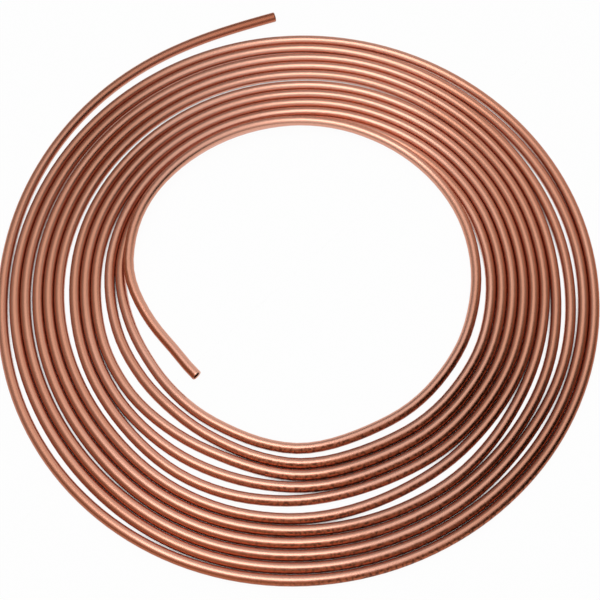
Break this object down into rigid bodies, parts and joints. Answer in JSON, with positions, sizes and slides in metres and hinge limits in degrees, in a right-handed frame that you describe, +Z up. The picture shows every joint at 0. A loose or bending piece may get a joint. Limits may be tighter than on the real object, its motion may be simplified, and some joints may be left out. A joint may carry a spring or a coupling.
{
  "type": "copper tube coil",
  "caption": "Long length of thin bare copper line tube wound flat into a loose single-layer ring, with an open eye and both cut ends springing free.",
  "frame": {"origin": "centre of the coil's bounding box in plan, on the floor plane under the coil", "axes": "+Z up, square to the flat coil; +Y towards the side where the outer end stands free; the coil winds outwards clockwise seen from above"},
  "size_m": [0.2734, 0.2855, 0.0096],
  "materials": {
    "copper": "bright drawn copper, lightly handled"
  },
  "bodies": {
    "root": {"copper_tube": "copper"}
  },
  "joints": []
}
